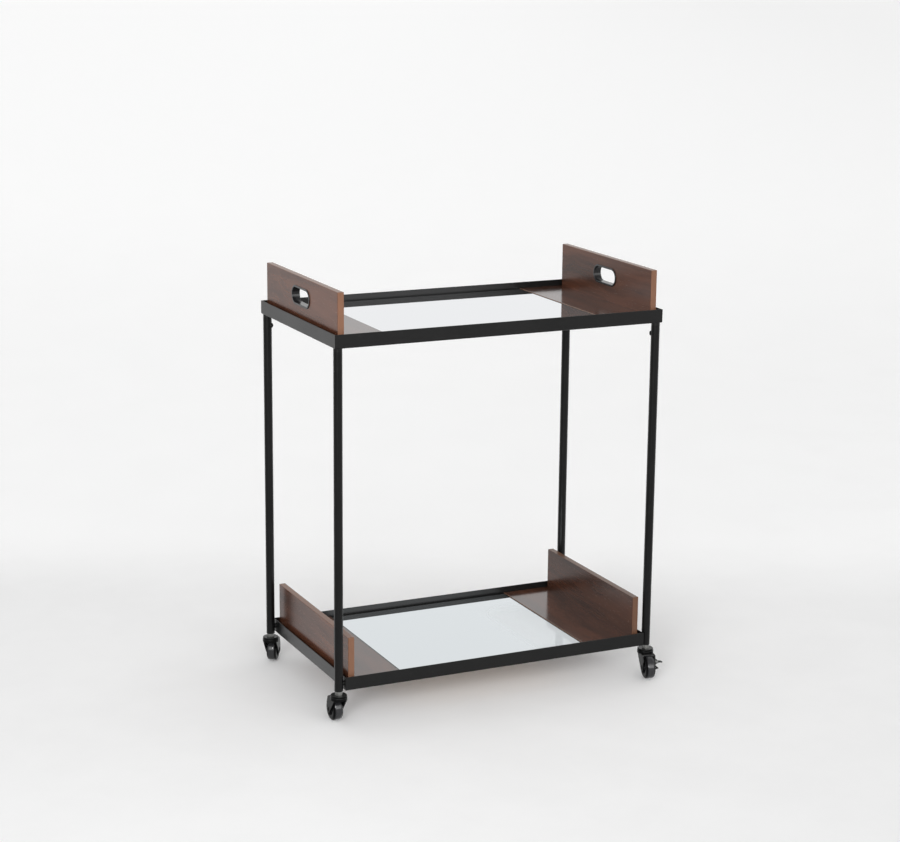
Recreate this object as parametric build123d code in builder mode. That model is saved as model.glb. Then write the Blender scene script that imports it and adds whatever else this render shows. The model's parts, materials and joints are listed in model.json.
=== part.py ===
"""Two-tier service cart: angle-rail trays on tube legs, mirrors, walnut ends, swivel casters.

X runs along the long side, Y from the front (-) to the back (+), Z up. The origin lies on the
floor under the middle of the trays. All sizes are in millimetres.
"""

import os
from math import cos, radians, sin, sqrt

from build123d import *

# Driving dimensions of the frame
tray_length = 650.0
tray_depth = 365.0
tier_spacing = 624.0
rail_height = 25.0
rail_wall = 1.5
ledge_width = 20.0
leg_diameter = 16.0
leg_wall = 1.2
leg_inset = 9.0
leg_overhang = 1.0
collar_height = 5.0
saddle_thickness = 1.5

# Driving dimensions of the boards, panels and mirrors
board_thickness = 12.0
glass_thickness = 3.0
backing_thickness = 8.0
top_seam_inset = 111.0
lower_seam_inset = 117.0
panel_thickness = 12.0
top_panel_rise = 72.0
lower_panel_rise = 70.5
panel_inset = 9.0
hand_hole_length = 80.0
hand_hole_height = 28.0
hand_hole_rise = 36.0

# Driving dimensions of the casters
wheel_radius = 22.5
tyre_width = 19.0
tyre_thickness = 8.5
core_rim_thickness = 2.0
core_rim_recess = 0.5
web_thickness = 6.0
web_hole_radius = 2.4
web_hole_count = 5
boss_radius = 5.6
hub_proud = 1.0
axle_radius = 3.0
axle_head_radius = 4.5
axle_head_height = 1.2
caster_trail = 20.0
fork_wall = 2.0
fork_bend = 2.5
bridge_gap = 1.0
bridge_front = 9.0
bridge_back = 22.0
bridge_lip = 1.2
cheek_foot_radius = 7.0
crown_radius = 15.5
crown_rise = 3.7
crown_plate = 2.0
crown_hollow_radius = 10.0
crown_rounding = 1.5
cap_radius = 15.0
cap_height = 2.8
cap_wall = 1.5
cap_rounding = 1.2
kingpin_radius = 5.0
rivet_radius = 8.0
rivet_height = 3.0
rivet_chamfer = 1.5
ball_radius = 1.0
ball_count = 12
nut_height = 7.0
nut_half_width = 6.5
caster_heading = {"front_left": 89.0, "back_left": 57.0, "front_right": -102.0, "back_right": 84.0}
braked_corners = ("front_right", "back_right")

# Driving dimensions of the brake, with bearings about the axle
shoe_radius = 1.5
shoe_lift = 2.4
shoe_bearing = 158.0
shoe_tip_radius = 2.5
pin_distance = 11.0
pin_bearing = 75.0
lug_radius = 4.2
pin_radius = 2.5
pin_collar_radius = 3.5
pin_head_radius = 4.0
pin_head_height = 1.5
lever_thickness = 1.5
foot_offset = (-10.8, -5.5)
foot_tip_radius = 3.0
foot_reach = 14.5
foot_width = 8.0
foot_rise = 2.1
foot_end_rise = 1.3
foot_rounding = 2.8
hook_offset = (-13.8, -11.0)
hook_tip_radius = 2.5
hook_reach = 8.5
hook_width = 5.0
hook_fall = 7.0
hook_drop = 9.0
hook_return = 6.0
hook_thickness = 1.6

# Clearances
bearing_gap = 0.5
lay_in_gap = 1.0
seam_gap = 0.5
sleeve_gap = 0.15
spigot_gap = 0.1
saddle_gap = 0.05
thread_gap = 0.05
running_gap = 0.06
cheek_gap = 0.5
lever_gap = 0.3
collar_gap = 0.1
rivet_gap = 0.3
ball_gap = 0.1
screw_gap = 0.2
stem_clearance = 1.5
notch_gap = 2.0

# Roundings and bends
outer_bend = 2.0
inner_bend = 1.0
rim_rounding = 0.5
wood_rounding = 1.0
glass_bevel = 0.5
plastic_rounding = 0.8
tyre_shoulder = 6.5

# Fasteners
frame_screw_radius = 3.0
frame_head_radius = 4.7
frame_head_height = 3.3
frame_socket_radius = 2.1
spacer_radius = 4.7
wood_screw_radius = 2.0
wood_head_radius = 4.0
wood_head_height = 2.2
wood_socket_radius = 1.8
socket_floor_share = 0.4
panel_screw_end = 53.0
board_screw_end = 52.0
panel_screw_bite = 18.0
board_screw_bite = 8.0
stem_radius = 4.0
top_screw_drop = 21.0
spigot_length = 32.0
plug_length = 25.0
bar_width = 30.0
bar_thickness = 3.0

# Heights and positions that follow
bridge_bottom = 2 * wheel_radius + bridge_gap
bridge_top = bridge_bottom + fork_wall
crown_top = bridge_top + crown_rise
cap_bottom = crown_top + bearing_gap
cap_top = cap_bottom + cap_height
leg_bottom = cap_top + nut_height
lower_base = leg_bottom + leg_overhang
top_base = lower_base + tier_spacing
leg_top = top_base - collar_height
leg_radius = leg_diameter / 2
leg_bore = leg_radius - leg_wall
leg_x = tray_length / 2 - leg_inset
leg_y = tray_depth / 2 - leg_inset
lower_length = 2 * (leg_x - leg_radius - saddle_thickness)
top_screw_height = top_base - top_screw_drop
lower_screw_height = lower_base + rail_height / 2
stem_bite = lower_screw_height - frame_screw_radius - stem_clearance - leg_bottom

corners = {
    "front_left": (-1, -1),
    "front_right": (1, -1),
    "back_left": (-1, 1),
    "back_right": (1, 1),
}
outward_sides = {"front": (0, -1), "back": (0, 1), "left": (-1, 0), "right": (1, 0)}
tiers = {
    "top": (tray_length, top_base, top_seam_inset),
    "lower": (lower_length, lower_base, lower_seam_inset),
}
panel_rise = {"top": top_panel_rise, "lower": lower_panel_rise}
panel_screw_row = tray_depth / 2 - panel_inset - panel_screw_end
panel_screw_rows = (-panel_screw_row, 0.0, panel_screw_row)
board_screw_row = tray_depth / 2 - ledge_width - board_screw_end
board_screw_rows = (-board_screw_row, board_screw_row)
board_screw_offset = bar_width / 4

os.makedirs("parts", exist_ok=True)


def save(shape, name):
    """Label one sub-part and write it."""
    shape.label = name
    export_step(shape, f"parts/{name}.step")


def rod(start, direction, radius, length, mode=Mode.ADD):
    """A round bar or bore of the running part, from a start point along a direction."""
    with Locations(Plane(origin=start, z_dir=direction)):
        Cylinder(radius, length, align=(Align.CENTER, Align.CENTER, Align.MIN), mode=mode)


def turn(plane, profile, mode=Mode.ADD):
    """A turned shape: a closed (radius, height) profile revolved about the plane's Z axis."""
    with BuildSketch(Plane(plane.origin, x_dir=plane.x_dir, z_dir=-plane.y_dir)) as section:
        with BuildLine():
            Polyline(*profile, close=True)
        make_face()
    revolve(section.sketch, axis=Axis(plane.origin, plane.z_dir), mode=mode)


def dome(radius, height, base=0.0, steps=8):
    """Half the outline of a domed head, from its rim over the crown to its axis."""
    turns = [90 * step / steps for step in range(steps + 1)]
    return [(radius * cos(radians(a)), base + height * sin(radians(a))) for a in turns]


def screw(start, direction, shank_radius, shank_length, head_radius, head_height, socket_radius):
    """A domed screw with a hexagon socket: start lies under the head, direction into the work."""
    seat = Plane(origin=start, z_dir=-Vector(*direction))
    turn(seat, [(0, 0), *dome(head_radius, head_height)])
    rod(start, direction, shank_radius, shank_length)
    with BuildSketch(seat.offset(socket_floor_share * head_height)) as socket:
        RegularPolygon(socket_radius, 6)
    extrude(socket.sketch, amount=head_height, mode=Mode.SUBTRACT)


# Angle rails: a standing flange outside, a ledge at its foot inside, mitred at both ends
def make_rail(tier, side):
    length, base, _ = tiers[tier]
    out_x, out_y = outward_sides[side]
    is_end = out_x != 0
    half_run = tray_depth / 2 if is_end else length / 2
    reach = length / 2 if is_end else tray_depth / 2
    middle = Vector(out_x * reach, out_y * reach, base)
    inward = Vector(-out_x, -out_y, 0)
    along = Vector(-out_y, out_x, 0)
    with BuildPart() as rail:
        with BuildSketch(Plane(middle, x_dir=inward, z_dir=along)):
            with BuildLine():
                Polyline(
                    (0, 0),
                    (ledge_width, 0),
                    (ledge_width, rail_wall),
                    (rail_wall, rail_wall),
                    (rail_wall, rail_height),
                    (0, rail_height),
                    close=True,
                )
            make_face()
            fillet(vertices().sort_by_distance((0, 0, 0))[1], inner_bend)
            fillet(vertices().sort_by_distance((0, 0, 0))[0], outer_bend)
            fillet(vertices().group_by(Axis.Y)[-1], rim_rounding)
        extrude(amount=half_run, both=True)
        for end in (-1, 1):
            mitre = Plane(middle + along * (end * half_run), z_dir=along * end + inward)
            split(bisect_by=mitre, keep=Keep.BOTTOM)
        if is_end:
            screw_x = out_x * (reach - panel_inset - panel_thickness / 2)
            for row in panel_screw_rows:
                bore = wood_screw_radius + screw_gap
                rod((screw_x, row, base - 1), (0, 0, 1), bore, rail_wall + 2, Mode.SUBTRACT)
        if is_end and tier == "lower":
            for back in (-1, 1):
                start = (out_x * (reach - rail_wall - 1), back * leg_y, lower_screw_height)
                bore = frame_screw_radius + screw_gap
                rod(start, (out_x, 0, 0), bore, rail_wall + 2, Mode.SUBTRACT)
    save(rail.part, f"{tier}_{side}_rail")


for tier in tiers:
    for side in outward_sides:
        make_rail(tier, side)


# Flat cross bars between the ledges, under the seams of boards and mirrors
with BuildPart() as cross_bars:
    for length, base, seam_inset in tiers.values():
        for end in (-1, 1):
            seam = end * (length / 2 - seam_inset)
            bar_length = tray_depth - 2 * ledge_width
            with Locations((seam, 0, base + rail_wall)):
                Box(
                    bar_width,
                    bar_length,
                    bar_thickness,
                    align=(Align.CENTER, Align.CENTER, Align.MAX),
                )
            for row in board_screw_rows:
                start = (seam + end * board_screw_offset, row, base - bar_thickness)
                bore = wood_screw_radius + screw_gap
                rod(start, (0, 0, 1), bore, 2 * bar_thickness, Mode.SUBTRACT)
save(cross_bars.part, "cross_bars")


# Round tube legs with the holes for the upper and lower frame screws
for corner, (right, back) in corners.items():
    axis_x = right * leg_x
    axis_y = back * leg_y
    with BuildPart() as leg:
        with BuildSketch(Plane.XY.offset(leg_bottom)):
            with Locations((axis_x, axis_y)):
                Circle(leg_radius)
                Circle(leg_bore, mode=Mode.SUBTRACT)
        extrude(amount=leg_top - leg_bottom)
        bore = frame_screw_radius + screw_gap
        diagonal = (-right, -back, 0)
        rod((axis_x, axis_y, top_screw_height), diagonal, bore, leg_diameter, Mode.SUBTRACT)
        inside = (-right, 0, 0)
        rod((axis_x, axis_y, lower_screw_height), inside, bore, leg_diameter, Mode.SUBTRACT)
    save(leg.part, f"{corner}_leg")


# Collars with spigots under the upper tray, plugs in the leg ends, spacers at the lower tray
with BuildPart() as leg_spigots:
    for right, back in corners.values():
        axis_x = right * leg_x
        axis_y = back * leg_y
        rod((axis_x, axis_y, leg_top), (0, 0, 1), leg_radius, collar_height)
        spigot_radius = leg_bore - spigot_gap
        rod((axis_x, axis_y, leg_top - spigot_length), (0, 0, 1), spigot_radius, spigot_length)
        bore = frame_screw_radius + thread_gap
        diagonal = (-right, -back, 0)
        rod((axis_x, axis_y, top_screw_height), diagonal, bore, leg_diameter, Mode.SUBTRACT)
save(leg_spigots.part, "leg_spigots")

with BuildPart() as leg_plugs:
    for right, back in corners.values():
        axis_x = right * leg_x
        axis_y = back * leg_y
        rod((axis_x, axis_y, leg_bottom), (0, 0, 1), leg_bore - thread_gap, plug_length)
        stem_bore = stem_radius + thread_gap
        stem_depth = stem_bite + 2 * screw_gap
        rod((axis_x, axis_y, leg_bottom), (0, 0, 1), stem_bore, stem_depth, Mode.SUBTRACT)
        bore = frame_screw_radius + thread_gap
        inside = (-right, 0, 0)
        rod((axis_x, axis_y, lower_screw_height), inside, bore, leg_diameter, Mode.SUBTRACT)
save(leg_plugs.part, "leg_plugs")

with BuildPart() as lower_tray_spacers:
    for right, back in corners.values():
        start = (right * lower_length / 2, back * leg_y, lower_screw_height)
        rod(start, (right, 0, 0), spacer_radius, leg_radius)
        bore = frame_screw_radius + screw_gap
        rod(start, (right, 0, 0), bore, leg_diameter, Mode.SUBTRACT)
        foot = (right * leg_x, back * leg_y, leg_bottom)
        rod(foot, (0, 0, 1), leg_radius + saddle_gap, rail_height * 2, Mode.SUBTRACT)
save(lower_tray_spacers.part, "lower_tray_spacers")

with BuildPart() as top_leg_screws:
    for right, back in corners.values():
        reach = leg_radius / sqrt(2)
        start = (right * (leg_x - reach), back * (leg_y - reach), top_screw_height)
        screw(
            start,
            (right, back, 0),
            frame_screw_radius,
            leg_radius,
            frame_head_radius,
            frame_head_height,
            frame_socket_radius,
        )
save(top_leg_screws.part, "top_leg_screws")

with BuildPart() as lower_tray_screws:
    for right, back in corners.values():
        seat_x = lower_length / 2 - rail_wall
        start = (right * seat_x, back * leg_y, lower_screw_height)
        screw(
            start,
            (right, 0, 0),
            frame_screw_radius,
            leg_x - seat_x,
            frame_head_radius,
            frame_head_height,
            frame_socket_radius,
        )
save(lower_tray_screws.part, "lower_tray_screws")


# Screws from below into the end panels and into the end boards
with BuildPart() as panel_screws:
    for length, base, _ in tiers.values():
        for end in (-1, 1):
            screw_x = end * (length / 2 - panel_inset - panel_thickness / 2)
            for row in panel_screw_rows:
                screw(
                    (screw_x, row, base),
                    (0, 0, 1),
                    wood_screw_radius,
                    rail_wall + board_thickness + panel_screw_bite,
                    wood_head_radius,
                    wood_head_height,
                    wood_socket_radius,
                )
save(panel_screws.part, "panel_screws")

with BuildPart() as board_screws:
    for length, base, seam_inset in tiers.values():
        for end in (-1, 1):
            screw_x = end * (length / 2 - seam_inset + board_screw_offset)
            for row in board_screw_rows:
                screw(
                    (screw_x, row, base + rail_wall - bar_thickness),
                    (0, 0, 1),
                    wood_screw_radius,
                    bar_thickness + board_screw_bite,
                    wood_head_radius,
                    wood_head_height,
                    wood_socket_radius,
                )
save(board_screws.part, "board_screws")


# Walnut end boards, lying on the ledges and cross bars
def make_board(tier, end, name):
    length, base, seam_inset = tiers[tier]
    outer = length / 2 - rail_wall - lay_in_gap
    inner = length / 2 - seam_inset + seam_gap / 2
    half_depth = tray_depth / 2 - rail_wall - lay_in_gap
    with BuildPart() as board:
        with BuildSketch(Plane.XY.offset(base + rail_wall)):
            with Locations((end * (outer + inner) / 2, 0)):
                Rectangle(outer - inner, 2 * half_depth)
            if tier == "lower":
                notch_length = frame_head_height + notch_gap
                notch_depth = tray_depth / 2 - leg_y + frame_head_radius + notch_gap
                for back in (-1, 1):
                    with Locations((end * outer, back * tray_depth / 2)):
                        Rectangle(2 * notch_length, 2 * notch_depth, mode=Mode.SUBTRACT)
        extrude(amount=board_thickness)
        fillet(board.edges().group_by(Axis.Z)[-1], wood_rounding / 2)
        screw_x = end * (length / 2 - panel_inset - panel_thickness / 2)
        bore = wood_screw_radius + screw_gap
        for row in panel_screw_rows:
            start = (screw_x, row, base)
            rod(start, (0, 0, 1), bore, 2 * board_thickness, Mode.SUBTRACT)
        pilot = wood_screw_radius + thread_gap
        screw_x = end * (length / 2 - seam_inset + board_screw_offset)
        for row in board_screw_rows:
            start = (screw_x, row, base)
            depth = rail_wall + board_screw_bite + screw_gap
            rod(start, (0, 0, 1), pilot, depth, Mode.SUBTRACT)
    save(board.part, name)


# Upright walnut panels on the end boards; the upper two have a hand hole
def make_panel(tier, end, name):
    length, base, _ = tiers[tier]
    foot = base + rail_wall + board_thickness
    height = base + rail_height + panel_rise[tier] - foot
    panel_x = end * (length / 2 - panel_inset - panel_thickness / 2)
    with BuildPart() as panel:
        with Locations((panel_x, 0, foot)):
            Box(
                panel_thickness,
                tray_depth - 2 * panel_inset,
                height,
                align=(Align.CENTER, Align.CENTER, Align.MIN),
            )
        upper_edges = panel.edges() - panel.edges().group_by(Axis.Z)[0]
        fillet(upper_edges, wood_rounding)
        pilot = wood_screw_radius + thread_gap
        for row in panel_screw_rows:
            depth = panel_screw_bite + screw_gap
            rod((panel_x, row, foot), (0, 0, 1), pilot, depth, Mode.SUBTRACT)
        if tier == "top":
            with BuildSketch(hand_hole_plane(panel_x)):
                SlotOverall(
                    hand_hole_length + 2 * sleeve_wall + 2 * sleeve_gap,
                    hand_hole_height + 2 * sleeve_wall + 2 * sleeve_gap,
                )
            extrude(amount=panel_thickness, both=True, mode=Mode.SUBTRACT)
    save(panel.part, name)


# Plastic rims of the hand holes: a flange on each face of the panel, meeting halfway inside
sleeve_wall = 2.0
flange_width = 3.5
flange_thickness = 1.6


def hand_hole_plane(x, facing=1):
    centre = (x, 0, top_base + rail_height + hand_hole_rise)
    return Plane(centre, x_dir=(0, 1, 0), z_dir=(facing, 0, 0))


def make_hand_hole_rim(end, facing, name):
    panel_x = end * (tray_length / 2 - panel_inset - panel_thickness / 2)
    face = hand_hole_plane(panel_x + facing * panel_thickness / 2, facing)
    with BuildPart() as rim:
        with BuildSketch(face):
            SlotOverall(hand_hole_length + 2 * flange_width, hand_hole_height + 2 * flange_width)
        extrude(amount=flange_thickness)
        fillet(rim.faces().sort_by(Axis.X)[-1 if facing > 0 else 0].edges(), plastic_rounding)
        with BuildSketch(face):
            SlotOverall(hand_hole_length + 2 * sleeve_wall, hand_hole_height + 2 * sleeve_wall)
        extrude(amount=-panel_thickness / 2)
        with BuildSketch(face.offset(flange_thickness)):
            SlotOverall(hand_hole_length, hand_hole_height)
        extrude(amount=-panel_thickness, mode=Mode.SUBTRACT)
        fillet(
            rim.faces().sort_by(Axis.X)[-1 if facing > 0 else 0].inner_wires().edges(),
            plastic_rounding,
        )
    save(rim.part, name)


ends = {"left": -1, "right": 1}
for tier in tiers:
    for side, end in ends.items():
        make_board(tier, end, f"{tier}_{side}_board")
        make_panel(tier, end, f"{tier}_{side}_panel")

for side, end in ends.items():
    make_hand_hole_rim(end, end, f"{side}_hand_hole_outer_rim")
    make_hand_hole_rim(end, -end, f"{side}_hand_hole_inner_rim")


# Mirrors on their backing boards
for tier, (length, base, seam_inset) in tiers.items():
    mirror_length = length - 2 * seam_inset - seam_gap
    mirror_depth = tray_depth - 2 * rail_wall - 2 * lay_in_gap
    with BuildPart() as backing:
        with BuildSketch(Plane.XY.offset(base + rail_wall)):
            Rectangle(mirror_length, mirror_depth)
        extrude(amount=backing_thickness)
    save(backing.part, f"{tier}_mirror_backing")
    with BuildPart() as mirror:
        with BuildSketch(Plane.XY.offset(base + rail_wall + backing_thickness)):
            Rectangle(mirror_length, mirror_depth)
        extrude(amount=glass_thickness)
        chamfer(mirror.edges().group_by(Axis.Z)[-1], glass_bevel)
    save(mirror.part, f"{tier}_mirror")


# Casters, drawn with the swivel axis on Z and the wheel trailing towards +X
axle_centre = Vector(caster_trail, 0, wheel_radius)
axle_plane = Plane(axle_centre, x_dir=(1, 0, 0), z_dir=(0, 1, 0))
hub_width = tyre_width + 2 * hub_proud
cheek_inside = hub_width / 2 + cheek_gap
cheek_outside = cheek_inside + fork_wall
plate_bottom = crown_top - crown_plate
race_height = crown_top + 2 * ball_radius + 2 * ball_gap
ball_circle = (kingpin_radius + cap_radius - cap_wall) / 2
tyre_bore = wheel_radius - tyre_thickness
rim_bore = tyre_bore - core_rim_thickness
rim_width = tyre_width - 2 * core_rim_recess
lever_inside = cheek_outside + axle_head_height + lever_gap
lever_outside = lever_inside + lever_thickness
shoe_distance = wheel_radius + shoe_radius + shoe_lift
shoe_point = (
    caster_trail + shoe_distance * cos(radians(shoe_bearing)),
    wheel_radius + shoe_distance * sin(radians(shoe_bearing)),
)
pin_point = (
    caster_trail + pin_distance * cos(radians(pin_bearing)),
    wheel_radius + pin_distance * sin(radians(pin_bearing)),
)
foot_point = (pin_point[0] + foot_offset[0], pin_point[1] + foot_offset[1])
hook_point = (pin_point[0] + hook_offset[0], pin_point[1] + hook_offset[1])



def rounded_rim(radius, rounding, top):
    """The rounded upper edge of a turned disc, from its flat top out to its side."""
    bend = dome(rounding, rounding, top - rounding)
    return [(radius - rounding + r, z) for r, z in reversed(bend)]


with BuildPart() as caster_stem:
    turn(
        Plane.XY,
        [
            (0, leg_bottom + stem_bite),
            (stem_radius, leg_bottom + stem_bite),
            (stem_radius, cap_top),
            *rounded_rim(cap_radius, cap_rounding, cap_top),
            (cap_radius, cap_bottom),
            (cap_radius - cap_wall, cap_bottom),
            (cap_radius - cap_wall, race_height),
            (kingpin_radius, race_height),
            (kingpin_radius, plate_bottom - rivet_gap),
            (rivet_radius, plate_bottom - rivet_gap),
            (rivet_radius, plate_bottom - rivet_gap - rivet_height + rivet_chamfer),
            (rivet_radius - rivet_chamfer, plate_bottom - rivet_gap - rivet_height),
            (0, plate_bottom - rivet_gap - rivet_height),
        ],
    )

with BuildPart() as caster_nut:
    with BuildSketch(Plane.XY.offset(cap_top)):
        RegularPolygon(nut_half_width, 6, major_radius=False)
        Circle(stem_radius + thread_gap, mode=Mode.SUBTRACT)
    extrude(amount=nut_height)

with BuildPart() as caster_balls:
    with Locations((0, 0, crown_top + ball_gap + ball_radius)):
        with PolarLocations(ball_circle, ball_count):
            Sphere(ball_radius)


def make_fork(braked):
    """A sheet bent over the wheel, a bridge with two cheeks, and the round crown on the bridge."""
    with BuildPart() as fork:
        upright = (Align.CENTER, Align.MAX)
        with BuildSketch(Plane.YZ.offset(-bridge_front)):
            with Locations((0, bridge_top)):
                Rectangle(2 * cheek_outside, bridge_top, align=upright)
            fillet(vertices().group_by(Axis.Y)[-1], fork_bend)
            with Locations((0, bridge_bottom)):
                Rectangle(2 * cheek_inside, bridge_bottom, align=upright, mode=Mode.SUBTRACT)
        extrude(amount=bridge_front + bridge_back + caster_trail)
        outline = (
            ((bridge_lip - bridge_front, bridge_top - bridge_lip), bridge_lip),
            ((bridge_back - bridge_lip, bridge_top - bridge_lip), bridge_lip),
            ((caster_trail, wheel_radius), cheek_foot_radius),
            (pin_point, lug_radius),
        )
        with BuildSketch(Plane.XZ):
            for centre, radius in outline:
                with Locations(centre):
                    Circle(radius)
            make_hull()
        extrude(amount=2 * cheek_outside, both=True, mode=Mode.INTERSECT)
        turn(
            Plane.XY,
            [
                (0, bridge_bottom),
                (0, crown_top),
                *rounded_rim(crown_radius, crown_rounding, crown_top),
                (crown_radius, bridge_bottom),
            ],
        )
        hollow_depth = plate_bottom - bridge_bottom + 1
        base = (0, 0, bridge_bottom - 1)
        rod(base, (0, 0, 1), crown_hollow_radius, hollow_depth, Mode.SUBTRACT)
        bore = kingpin_radius + running_gap
        rod(base, (0, 0, 1), bore, crown_top - bridge_bottom + 2, Mode.SUBTRACT)
        start = (caster_trail, -cheek_outside - 1, wheel_radius)
        bore = axle_radius + thread_gap
        rod(start, (0, 1, 0), bore, 2 * cheek_outside + 2, Mode.SUBTRACT)
        if braked:
            start = (pin_point[0], cheek_inside - 1, pin_point[1])
            rod(start, (0, 1, 0), pin_radius + thread_gap, fork_wall + 2, Mode.SUBTRACT)
    return fork.part


with BuildPart() as axle:
    head = dome(axle_head_radius, axle_head_height, cheek_outside)
    tail = [(radius, -height) for radius, height in reversed(head)]
    turn(
        axle_plane,
        [*head, *tail, (axle_radius, -cheek_outside), (axle_radius, cheek_outside)],
    )

with BuildPart() as wheel_core:
    bore = axle_radius + running_gap
    half_outline = [
        (bore, hub_width / 2),
        (boss_radius, hub_width / 2),
        (boss_radius, web_thickness / 2),
        (rim_bore, web_thickness / 2),
        (rim_bore, rim_width / 2),
        (tyre_bore, rim_width / 2),
    ]
    turn(axle_plane, half_outline + [(r, -h) for r, h in reversed(half_outline)])
    with Locations(axle_plane):
        with PolarLocations((boss_radius + rim_bore) / 2, web_hole_count):
            Cylinder(web_hole_radius, hub_width, mode=Mode.SUBTRACT)

with BuildPart() as tyre:
    with BuildSketch(Plane(axle_centre, x_dir=(0, 1, 0), z_dir=(1, 0, 0))):
        with Locations((0, (tyre_bore + wheel_radius) / 2)):
            Rectangle(tyre_width, wheel_radius - tyre_bore)
        fillet(vertices().group_by(Axis.Y)[-1], tyre_shoulder)
    revolve(axis=Axis(axle_centre, (0, 1, 0)))

with BuildPart() as brake_lever:
    plate_face = Plane.XZ.offset(-lever_inside)
    arms = (
        (pin_point, lug_radius, shoe_point, shoe_tip_radius),
        (pin_point, lug_radius, foot_point, foot_tip_radius),
        (foot_point, foot_tip_radius, hook_point, hook_tip_radius),
    )
    for root, root_radius, tip, tip_radius in arms:
        with BuildSketch(plate_face):
            with Locations(root):
                Circle(root_radius)
            with Locations(tip):
                Circle(tip_radius)
            make_hull()
        extrude(amount=-lever_thickness)
    pin_start = (pin_point[0], lever_inside - 1, pin_point[1])
    rod(pin_start, (0, 1, 0), pin_radius + running_gap, lever_thickness + 2, Mode.SUBTRACT)
    shoe_start = (shoe_point[0], lever_outside, shoe_point[1])
    rod(shoe_start, (0, -1, 0), shoe_radius, lever_outside + tyre_width / 2 - core_rim_recess)
    foot_plane = Plane((foot_point[0] - foot_width / 2, 0, foot_point[1]), (0, 1, 0), (1, 0, 0))
    drop = Vector(0, -lever_thickness)
    with BuildSketch(foot_plane):
        with BuildLine():
            top_arc = ThreePointArc(
                (lever_inside, 0),
                (lever_outside + foot_reach / 2, foot_rise),
                (lever_outside + foot_reach, foot_end_rise),
            )
            Line(top_arc @ 1, top_arc @ 1 + drop)
            low_arc = ThreePointArc(top_arc @ 1 + drop, top_arc @ 0.5 + drop, top_arc @ 0 + drop)
            Line(low_arc @ 1, top_arc @ 0)
        make_face()
    extrude(amount=foot_width)
    fillet(brake_lever.edges().filter_by(Axis.Z).group_by(Axis.Y)[-1], foot_rounding)
    hook_plane = Plane((hook_point[0] - hook_width / 2, 0, hook_point[1]), (0, 1, 0), (1, 0, 0))
    hook_tip = lever_outside + hook_reach
    with BuildSketch(hook_plane):
        with BuildLine():
            Polyline(
                (lever_inside, hook_tip_radius),
                (hook_tip, -hook_fall),
                (hook_tip - hook_return, -hook_drop),
                (hook_tip - hook_return, -hook_drop + hook_thickness),
                (hook_tip - 2 * hook_thickness, -hook_fall),
                (lever_inside, hook_tip_radius - 2 * hook_thickness),
                close=True,
            )
        make_face()
    extrude(amount=hook_width)

with BuildPart() as brake_pin:
    pin_plane = Plane((pin_point[0], cheek_inside, pin_point[1]), x_dir=(1, 0, 0), z_dir=(0, 1, 0))
    pin_length = lever_outside + screw_gap - cheek_inside
    collar_end = lever_inside - collar_gap - cheek_inside
    shank = [
        (0, 0),
        (pin_radius, 0),
        (pin_radius, fork_wall),
        (pin_collar_radius, fork_wall),
        (pin_collar_radius, collar_end),
        (pin_radius, collar_end),
        (pin_radius, pin_length),
    ]
    turn(pin_plane, [*shank, *dome(pin_head_radius, pin_head_height, pin_length)])


# Each caster stands under its leg, turned to its heading
def gather(shape, name):
    """One group of alike pieces, a copy under every leg."""
    with BuildPart() as group:
        for right, back in corners.values():
            with Locations((right * leg_x, back * leg_y, 0)):
                add(shape)
    save(group.part, name)


gather(caster_stem.part, "caster_stems")
gather(caster_nut.part, "caster_nuts")
gather(caster_balls.part, "caster_balls")

for corner, (right, back) in corners.items():
    seat = Location((right * leg_x, back * leg_y, 0), (0, 0, caster_heading[corner]))
    braked = corner in braked_corners
    save(make_fork(braked).moved(seat), f"{corner}_fork")
    save(axle.part.moved(seat), f"{corner}_axle")
    save(wheel_core.part.moved(seat), f"{corner}_wheel_core")
    save(tyre.part.moved(seat), f"{corner}_tyre")
    if braked:
        save(brake_lever.part.moved(seat), f"{corner}_brake_lever")
        save(brake_pin.part.moved(seat), f"{corner}_brake_pin")
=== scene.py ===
"""A two-tier service cart in a plain pale studio: finishes, floor, light and camera."""

import json
from math import cos, radians, sin

import bpy
import numpy as np
from mathutils import Matrix, Vector

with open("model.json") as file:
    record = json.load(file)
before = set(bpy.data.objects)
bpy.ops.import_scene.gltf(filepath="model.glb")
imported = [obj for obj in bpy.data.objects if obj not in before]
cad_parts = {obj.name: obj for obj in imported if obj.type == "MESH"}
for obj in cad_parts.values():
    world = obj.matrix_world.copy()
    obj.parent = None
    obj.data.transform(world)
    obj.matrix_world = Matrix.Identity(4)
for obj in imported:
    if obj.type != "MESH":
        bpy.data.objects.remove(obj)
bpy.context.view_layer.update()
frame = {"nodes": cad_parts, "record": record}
camera_yaw = radians(25.21)


class Value:
    """A shader socket that takes part in Python arithmetic: every operator adds one Math node."""

    def __init__(self, finish, socket):
        self.finish = finish
        self.socket = socket

    def math(self, operation, first, second=0.0):
        return self.finish.node("ShaderNodeMath", {"operation": operation}, {0: first, 1: second})

    def __add__(self, other):
        return self.math("ADD", self, other)

    def __radd__(self, other):
        return self.math("ADD", other, self)

    def __sub__(self, other):
        return self.math("SUBTRACT", self, other)

    def __rsub__(self, other):
        return self.math("SUBTRACT", other, self)

    def __mul__(self, other):
        return self.math("MULTIPLY", self, other)

    def __rmul__(self, other):
        return self.math("MULTIPLY", other, self)

    def __pow__(self, other):
        return self.math("POWER", self, other)

    def __abs__(self):
        return self.math("ABSOLUTE", self)

    def ramp(self, low, high):
        """0 below low, 1 above high and a smooth step between them."""
        ends = {"Value": self, "From Min": low, "From Max": high}
        return self.finish.node("ShaderNodeMapRange", {"interpolation_type": "SMOOTHSTEP"}, ends)


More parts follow.
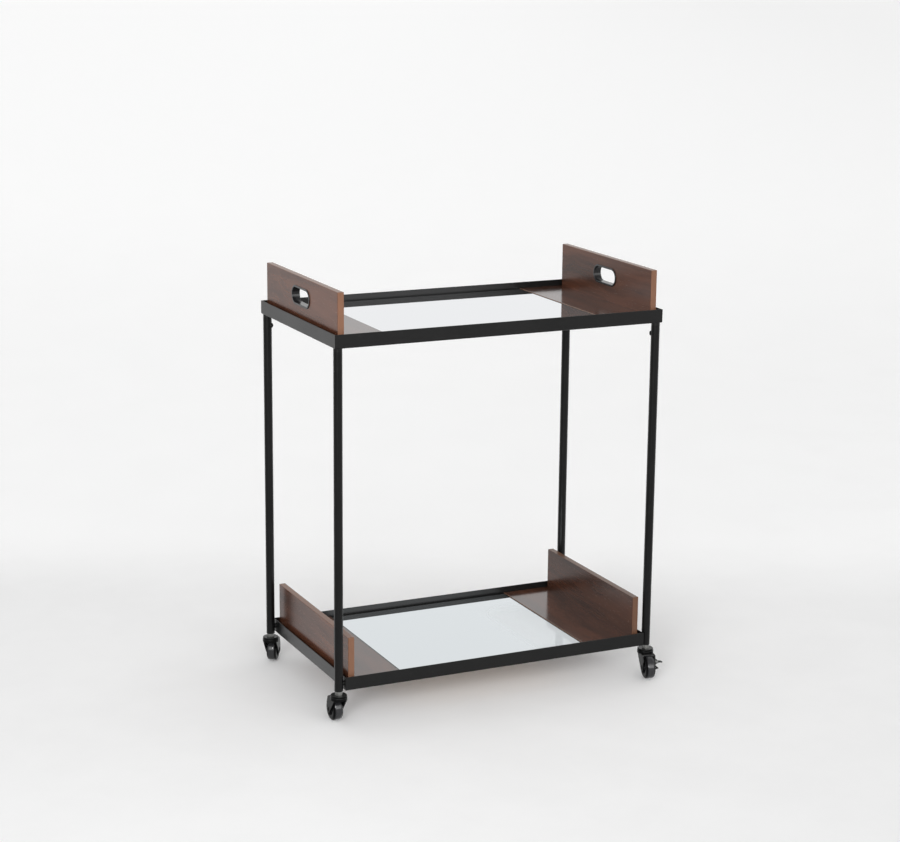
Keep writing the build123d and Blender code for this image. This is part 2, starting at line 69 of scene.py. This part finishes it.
class Nodes:
    """The nodes of one material or of the world, written as expressions."""

    def __init__(self, tree):
        self.tree = tree

    def node(self, kind, settings=None, inputs=None, out=0):
        """One node: its settings first, then the values or links of its sockets."""
        made = self.tree.nodes.new(kind)
        for key, value in (settings or {}).items():
            setattr(made, key, value)
        for key, value in (inputs or {}).items():
            if isinstance(value, Value):
                self.tree.links.new(value.socket, made.inputs[key])
            else:
                made.inputs[key].default_value = value
        return Value(self, made.outputs[out])

    def mix(self, share, first, second):
        """A colour between two colours."""
        ends = {0: share, 6: first, 7: second}
        return self.node("ShaderNodeMix", {"data_type": "RGBA"}, ends, out=2)

    def split(self, vector):
        """The three numbers of a vector."""
        parts = {"Vector": vector}
        return [self.node("ShaderNodeSeparateXYZ", {}, parts, out=axis) for axis in "XYZ"]

    def studio_axes(self, vector):
        """A vector's parts across, into and up the photo: X and Y turned by the camera's yaw."""
        x, y, up = self.split(vector)
        east, north = sin(camera_yaw), cos(camera_yaw)
        return north * x - east * y, east * x + north * y, up

    def noise(self, place, scale, detail=2.0, roughness=0.5, stretch=(1, 1, 1)):
        """Soft noise about 0.5; stretch divides the pattern's frequency along each axis."""
        per_axis = tuple(1 / s for s in stretch)
        moved = self.node("ShaderNodeMapping", {}, {"Vector": place, "Scale": per_axis})
        sizes = {"Vector": moved, "Scale": scale, "Detail": detail, "Roughness": roughness}
        return self.node("ShaderNodeTexNoise", {}, sizes)


class Finish(Nodes):
    """A material with one Principled surface; constants are set on the surface's own sockets."""

    def __init__(self, name, **constants):
        self.material = bpy.data.materials.new(name)
        self.material.use_nodes = True
        super().__init__(self.material.node_tree)
        self.surface = self.tree.nodes["Principled BSDF"]
        for key, value in constants.items():
            self.surface.inputs[key.replace("_", " ")].default_value = value
        self.place = self.node("ShaderNodeTexCoord", out="Object")
        self.facing = self.node("ShaderNodeTexCoord", out="Normal")

    def feed(self, socket, value):
        self.tree.links.new(value.socket, self.surface.inputs[socket])

    def bump(self, height, depth):
        """Relief of a given depth in metres."""
        sizes = {"Height": height, "Distance": depth}
        self.feed("Normal", self.node("ShaderNodeBump", {}, sizes))


def rgb(red, green, blue):
    """An sRGB colour of 0 to 255 as linear light with full alpha."""
    share = np.array([red, green, blue]) / 255
    light = np.where(share <= 0.04045, share / 12.92, ((share + 0.055) / 1.055) ** 2.4)
    return (*light.tolist(), 1.0)


def grey(share):
    """A neutral colour that returns this share of the light."""
    return (share, share, share, 1.0)


def powder_coat(name, shine):
    """Satin black powder coat: fine orange peel, faint cloudiness, a little dust.

    shine is the share of its full gloss.
    """
    coat = Finish(name, Specular_IOR_Level=0.5, Specular_Tint=grey(shine))
    cloud = coat.noise(coat.place, 14, 3)
    dust_and_painted_reflection = coat.noise(coat.place, 220, 3, 0.6).ramp(0.55, 0.8)
    tone = coat.mix(cloud.ramp(0.3, 0.7), rgb(9, 9, 9), rgb(12, 12, 12))
    coat.feed("Base Color", coat.mix(dust_and_painted_reflection * 0.08, tone, rgb(80, 79, 77)))
    coat.feed("Roughness", 0.3 + 0.1 * cloud + 0.1 * dust_and_painted_reflection)
    coat.bump(coat.noise(coat.place, 1500, 2), 0.00005)
    return coat.material


def caster_paint(name, polish):
    """Black caster paint with a slow waviness, dull down the sides; polish is its gloss on top."""
    paint = Finish(name, Specular_IOR_Level=0.06, Coat_Roughness=0.1)
    _, _, up = paint.split(paint.facing)
    paint.feed("Coat Weight", polish * up.ramp(0.1, 0.6))
    cloud = paint.noise(paint.place, 60, 2)
    scuff = paint.noise(paint.place, 500, 4, 0.7).ramp(0.58, 0.75)
    paint.feed("Base Color", paint.mix(scuff * 0.25, rgb(14, 14, 14), rgb(70, 70, 70)))
    paint.feed("Roughness", 0.25 + 0.1 * cloud + 0.2 * scuff)
    paint.bump(paint.noise(paint.place, 420, 2), 0.00004)
    return paint.material


def zinc_plate(name, shade):
    """Zinc plate with fine turning marks and duller patches. shade scales its tone."""
    zinc = Finish(name, Metallic=0.8)
    bright = rgb(218 * shade, 218 * shade, 214 * shade)
    dull = rgb(182 * shade, 183 * shade, 182 * shade)
    marks = zinc.noise(zinc.place, 900, 2, 0.6, (1, 1, 0.1))
    patch = zinc.noise(zinc.place, 120, 3)
    zinc.feed("Base Color", zinc.mix(patch.ramp(0.35, 0.7), bright, dull))
    zinc.feed("Roughness", 0.2 + 0.16 * patch + 0.1 * marks)
    zinc.bump(marks, 0.00002)
    return zinc.material


def wheel_plastic(name, axle):
    """Black moulded plastic: polished and scuffed in fine specks on the tread, dull on the sides.
    The tread is painted lighter and the sides darker: painted light on the tread, painted shade on
    the sides.

    axle is the direction of the wheel's axle, along which the sides face.
    """
    plastic = Finish(name, Specular_IOR_Level=0.06, Coat_Roughness=0.09)
    x, y, _ = plastic.split(plastic.facing)
    tread = 1 - abs(axle[0] * x + axle[1] * y).ramp(0.3, 0.7)
    speck = plastic.noise(plastic.place, 900, 4, 0.7).ramp(0.6, 0.8)
    cloud = plastic.noise(plastic.place, 90, 2)
    # Sides darker than the tread: painted shade on the sides, painted light on the tread.
    tone = plastic.mix(tread, rgb(10, 10, 11), rgb(40, 40, 42))
    plastic.feed("Base Color", plastic.mix(speck * tread * 0.35, tone, rgb(96, 95, 92)))
    plastic.feed("Roughness", 0.3 + 0.1 * cloud + 0.3 * speck)
    plastic.feed("Coat Weight", tread)
    plastic.bump(cloud, 0.00008)
    return plastic.material


def rim_plastic():
    """Satin black plastic of the hand-hole rims with a fine spark texture."""
    plastic = Finish("rim_plastic", Specular_IOR_Level=0.5)
    spark = plastic.noise(plastic.place, 1800, 2)
    cloud = plastic.noise(plastic.place, 40, 2)
    plastic.feed("Base Color", plastic.mix(cloud, rgb(20, 20, 21), rgb(27, 27, 28)))
    plastic.feed("Roughness", 0.17 + 0.08 * cloud)
    plastic.bump(spark, 0.00002)
    return plastic.material


def walnut(name, band_axes, shine, polish, painted_light_share=1.0):
    """Walnut-look laminate: streaks, figure and pores drawn out along Y, plain bands on edges.

    The streaks are noise whose Y frequency is a small share of its X and Z frequency, bent by a
    slow noise. band_axes names the two axes along which the banded edges face, shine is the
    strength of the gloss and polish its roughness. The last argument scales the tone of the whole
    piece as painted light and shade: a panel that the light reaches less is painted darker.
    """

    # Every colour of this piece is scaled by its share of painted light and shade.
    def painted_light_tone(*levels):
        return rgb(*(painted_light_share * level for level in levels))

    wood = Finish(name, IOR=1.7, Specular_IOR_Level=shine)
    bend = wood.noise(wood.place, 5, 2) * 0.05
    sideways = wood.node("ShaderNodeCombineXYZ", {}, {"X": bend, "Z": bend})
    flow = wood.node("ShaderNodeVectorMath", {"operation": "ADD"}, {0: wood.place, 1: sideways})
    broad = wood.noise(flow, 26, 3, 0.55, (1, 9, 1))
    streak = wood.noise(flow, 150, 4, 0.6, (1, 22, 1))
    pore = wood.noise(flow, 1100, 2, 0.5, (1, 28, 1)).ramp(0.58, 0.72)
    figure = (0.74 * broad + 0.26 * streak).ramp(0.3, 0.69)
    dark = wood.mix(pore * 0.25, painted_light_tone(53, 32, 23), painted_light_tone(31, 18, 12))
    tone = wood.mix(figure, dark, painted_light_tone(93, 57, 41))
    facing = dict(zip("XYZ", wood.split(wood.facing)))
    first, second = (abs(facing[axis]) for axis in band_axes)
    band = (first + second).ramp(0.68, 0.74)
    band_grain = wood.noise(wood.place, 300, 4, 0.6, (1, 6, 9))
    band_tone = wood.mix(band_grain, painted_light_tone(107, 75, 58), painted_light_tone(128, 93, 73))
    wood.feed("Base Color", wood.mix(band, tone, band_tone))
    wood.feed("Roughness", polish + 0.03 * streak + 0.02 * pore)
    wood.bump(streak - 0.8 * pore, 0.000005)
    return wood.material


def fibreboard():
    """Raw brown fibreboard of the mirror backings."""
    board = Finish("fibreboard", Roughness=0.85)
    fleck = board.noise(board.place, 700, 4, 0.7)
    board.feed("Base Color", board.mix(fleck.ramp(0.3, 0.7), rgb(118, 94, 70), rgb(160, 132, 102)))
    board.bump(fleck, 0.0001)
    return board.material


def silvered_glass(node, tint, painted_reflection_strength):
    """A mirror: silver seen through clear glass on the flat, pale green glass at the edges.

    Along its border the glass is painted dark instead of silver, as painted shade of the gap
    between the glass and the rails round it. The last argument is the strength of a pale patch
    towards the right front corner, where the silver gives way to a plain pale colour: a painted
    reflection of a pale wall in place of the leg and panel that the mirror would reflect there.
    """
    mirror = Finish(f"{node}_glass", Specular_IOR_Level=0.1)
    # The dark border of these widths is painted shade of the gap between the glass and the rails.
    end_gap_shade, long_gap_shade, blend = 0.003, 0.007, 0.001
    half_length, half_depth, _ = frame["nodes"][node].dimensions / 2
    silver_x, silver_y = half_length - end_gap_shade, half_depth - long_gap_shade
    x, y, _ = mirror.split(mirror.place)
    _, _, up = mirror.split(mirror.facing)
    flat = up.ramp(0.8, 0.95)
    # Dark outside this mask: painted shade of the gap round the glass.
    outside_gap_shade = 1 - abs(x).ramp(silver_x, silver_x + blend)
    outside_gap_shade = outside_gap_shade * (1 - abs(y).ramp(silver_y, silver_y + blend))
    # A pale patch towards the right front corner where the silver gives way to a plain pale
    # colour: a painted reflection of a pale wall in place of the leg and panel the mirror would
    # show.
    dust_and_painted_reflection = painted_reflection_strength * x.ramp(0.07, 0.14) * (1 - y.ramp(0.04, 0.14))
    smear = mirror.noise(mirror.place, 7, 3, 0.6, (1, 2, 1))
    silver = mirror.mix(outside_gap_shade, rgb(20, 23, 22), tint)
    mirror.feed("Metallic", flat * (1 - 0.93 * dust_and_painted_reflection))
    mirror.feed("Base Color", mirror.mix(flat, rgb(128, 158, 148), silver))
    mirror.feed("Roughness", 0.02 + 0.02 * smear.ramp(0.5, 0.8) + 0.12 * (1 - flat))
    return mirror.material


# Each panel's tone scale is painted light and shade: the lower right panel is painted darker for
# the light that falls off there, the top left a little lighter.
panel_painted_light = {"top_left": 1.05, "top_right": 1.0, "lower_left": 1.0, "lower_right": 0.82}
by_slot = {
    "frame_steel": powder_coat("rail_coat", shine=0.82),
    "caster_steel": caster_paint("caster_paint", polish=0.45),
    "zinc_steel": zinc_plate("zinc_plate", shade=1.0),
    "hand_hole_plastic": rim_plastic(),
    "backing": fibreboard(),
}
by_ending = {
    "_leg": powder_coat("leg_coat", shine=0.6),
    "_brake_lever": caster_paint("lever_paint", polish=0.1),
    "_axle": caster_paint("axle_paint", polish=0.3),
    "caster_nuts": zinc_plate("nut_zinc", shade=0.72),
    "_board": walnut("board_walnut", "XY", shine=0.88, polish=0.13),
    "top_mirror": silvered_glass("top_mirror", tint=rgb(236, 238, 241), painted_reflection_strength=0.0),
    "lower_mirror": silvered_glass("lower_mirror", tint=rgb(234, 240, 243), painted_reflection_strength=1.0),
}
for joint in frame["record"]["behaviour"]["joints"]:
    if joint["name"].endswith("_wheel_spin"):
        corner = joint["name"].removesuffix("_wheel_spin")
        plastic = wheel_plastic(f"{corner}_wheel_plastic", joint["axis"])
        by_ending.update({f"{corner}_tyre": plastic, f"{corner}_wheel_core": plastic})
for place, painted_light_share in panel_painted_light.items():
    panel = walnut(f"{place}_walnut", "YZ", shine=0.17, polish=0.24, painted_light_share=painted_light_share)
    by_ending[f"{place}_panel"] = panel
for part in frame["record"]["subparts"]:
    node = frame["nodes"][part["node"]]
    special = [finish for ending, finish in by_ending.items() if part["node"].endswith(ending)]
    node.material_slots[0].material = special[0] if special else by_slot[part["material_slot"]]


def studio_floor():
    """A flat disc of rings and spokes: radius times the cosine and sine of the turn.

    Its paint pales towards the back and far out, as a floor that rises into a wall does: foot is
    its glow round the cart, far behind it, rim further out on all sides and high at the wall.
    """
    inner_radius, outer_radius, ring_count, spoke_count = 0.05, 40, 60, 96
    rings = np.geomspace(inner_radius, outer_radius, ring_count)
    spokes = np.linspace(0, 2 * np.pi, spoke_count, endpoint=False)
    radius, turn = np.meshgrid(rings, spokes)
    points = np.stack([radius * np.cos(turn), radius * np.sin(turn), 0 * radius], -1)
    index = np.arange(radius.size).reshape(radius.shape)
    after = np.roll(index, -1, 0)
    quads = np.stack([index[:, :-1], index[:, 1:], after[:, 1:], after[:, :-1]], -1).reshape(-1, 4)
    mesh = bpy.data.meshes.new("studio_floor")
    mesh.from_pydata(points.reshape(-1, 3), [], [*quads.tolist(), index[:, 0].tolist()])
    floor = bpy.data.objects.new("studio_floor", mesh)
    bpy.context.scene.collection.objects.link(floor)
    floor.visible_glossy = False
    paint = Finish("floor_paint", Roughness=0.9, Specular_IOR_Level=0.0, Emission_Strength=1.0)
    across, back, _ = paint.studio_axes(paint.place)
    cloud = paint.noise(paint.place, 5, 5, 0.6).ramp(0.3, 0.7)
    paint.feed("Base Color", paint.mix(cloud, grey(0.86), grey(0.88)))
    far = paint.mix(across.ramp(-1.0, 2.0), grey(0.155), grey(0.12))
    foot = paint.mix(back.ramp(0.4, 0.9), grey(0.045), far)
    pale = grey(0.19)
    high = paint.mix(across.ramp(-2.0, 6.0), grey(0.205), grey(0.135))
    high = paint.mix(across.ramp(8.0, 16.0), high, pale)
    distance = (across * across + back * back) ** 0.5
    rim = paint.mix(distance.ramp(3.0, 20.0), foot, pale)
    paint.feed("Emission Color", paint.mix(back.ramp(1.5, 7.0), rim, high))
    mesh.materials.append(paint.material)


def soft_box(name, place, size, power):
    """A round lamp behind a grid that keeps its light towards the cart."""
    aim = Vector((0, 0, 0.3))
    lamp = bpy.data.lights.new(name, "AREA")
    lamp.shape = "DISK"
    lamp.size = size
    lamp.spread = radians(80)
    lamp.energy = power
    box = bpy.data.objects.new(name, lamp)
    box.location = place
    box.rotation_euler = (aim - Vector(place)).to_track_quat("-Z", "Y").to_euler()
    box.visible_camera = False
    bpy.context.scene.collection.objects.link(box)


def studio_light():
    """A bright wall behind, pale sides, a broad soft light over a dim front, and one soft box.

    A little light falls from overhead. The camera itself sees a plain backdrop instead.
    """
    backdrop = 0.93
    world = bpy.data.worlds.new("studio")
    bpy.context.scene.world = world
    world.use_nodes = True
    sky = Nodes(world.node_tree)
    across, back, up = sky.studio_axes(sky.node("ShaderNodeTexCoord", out="Generated"))
    wall = back.ramp(0.05, 0.6) * (1 - 0.22 * up.ramp(0.16, 0.4))
    front = (0.17 * across - 0.985 * back).ramp(0.4, 0.95) * (1 - up.ramp(0.45, 0.95))
    side = (1 - abs(back).ramp(0.3, 0.9)) * (1 - up.ramp(0.25, 0.65))
    room = (0.37 + 0.57 * wall + 0.12 * across.ramp(0.1, 0.8)) * (1 - 0.3 * up.ramp(0.45, 0.85))
    overhead = 0.15 * up.ramp(0.6, 0.95)
    glow = room + overhead + up.ramp(0.03, 0.22) * (3.2 * front + 0.8 * side)
    seen = sky.node("ShaderNodeLightPath", out="Is Camera Ray")
    light = glow * (1 - seen) + backdrop * seen
    background = world.node_tree.nodes["Background"]
    background.inputs["Color"].default_value = (1, 1, 1, 1)
    world.node_tree.links.new(light.socket, background.inputs["Strength"])
    soft_box("key", place=(-2.1, -2.4, 1.35), size=0.9, power=5.5)


def photo_camera():
    """A long lens in front of the left corner, tilted down, rolled half a degree."""
    stand = (-1.6893, -3.5472, 1.4238)
    yaw, pitch, roll = camera_yaw, radians(13.36), radians(0.54)
    ahead = Vector((sin(yaw) * cos(pitch), cos(yaw) * cos(pitch), -sin(pitch)))
    level = Vector((cos(yaw), -sin(yaw), 0))
    above = level.cross(ahead)
    right = cos(roll) * level + sin(roll) * above
    upper = cos(roll) * above - sin(roll) * level
    lens = bpy.data.cameras.new("camera")
    lens.sensor_width = 36
    lens.lens = 86.155
    lens.clip_end = 200
    camera = bpy.data.objects.new("camera", lens)
    turned = Matrix((right, upper, -ahead)).transposed().to_4x4()
    camera.matrix_world = Matrix.Translation(stand) @ turned
    bpy.context.scene.collection.objects.link(camera)
    bpy.context.scene.camera = camera


studio_floor()
studio_light()
photo_camera()
bpy.context.scene.view_settings.view_transform = "Standard"
